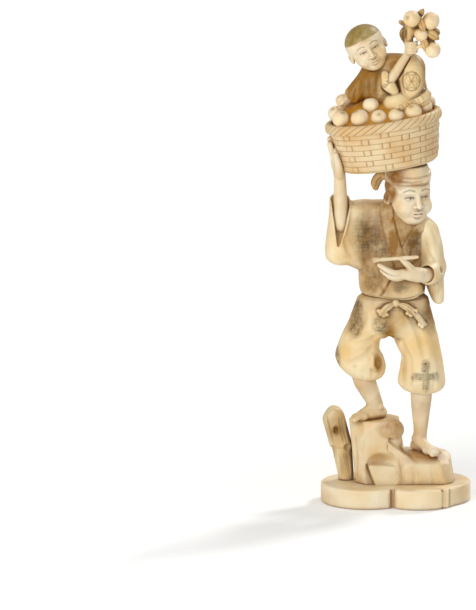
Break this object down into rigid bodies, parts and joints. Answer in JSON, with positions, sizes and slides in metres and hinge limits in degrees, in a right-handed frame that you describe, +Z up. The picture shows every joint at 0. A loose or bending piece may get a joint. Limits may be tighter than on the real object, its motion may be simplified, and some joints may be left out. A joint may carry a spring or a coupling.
{
  "type": "okimono carving",
  "caption": "Standing carved figure on a lobed plinth and rock, carrying a fruit basket on the head in which a child kneels and lifts a fruiting branch.",
  "frame": {"origin": "middle of the object's footprint, on the surface that the plinth stands on", "axes": "+Z up; the carved figure faces -Y and its left side is at +X"},
  "size_m": [0.075, 0.05, 0.2523],
  "materials": {
    "polished_ivory": "carved, tinted and polished",
    "stained_ivory": "carved and stained brown",
    "peg_ivory": "turned, glued in"
  },
  "bodies": {
    "root": {"base_pegs": "peg_ivory", "basket": "polished_ivory", "basket_dowel": "peg_ivory", "basket_fruit": "polished_ivory", "branch_fruit": "polished_ivory", "child_body": "polished_ivory", "child_dowel": "peg_ivory", "child_head": "polished_ivory", "child_left_arm": "polished_ivory", "child_right_hand": "polished_ivory", "foot_pegs": "peg_ivory", "fruit_branch": "stained_ivory", "fruit_heap": "polished_ivory", "head": "polished_ivory", "jacket": "polished_ivory", "left_hand": "polished_ivory", "left_leg": "polished_ivory", "left_sleeve": "polished_ivory", "pipe": "polished_ivory", "plinth": "polished_ivory", "right_forearm": "polished_ivory", "right_leg": "polished_ivory", "right_sleeve": "polished_ivory", "rockwork": "polished_ivory", "scarf_knot": "stained_ivory", "sleeve_pegs": "peg_ivory", "tree_stump": "stained_ivory", "trousers": "polished_ivory", "waist_dowel": "peg_ivory"}
  },
  "joints": []
}
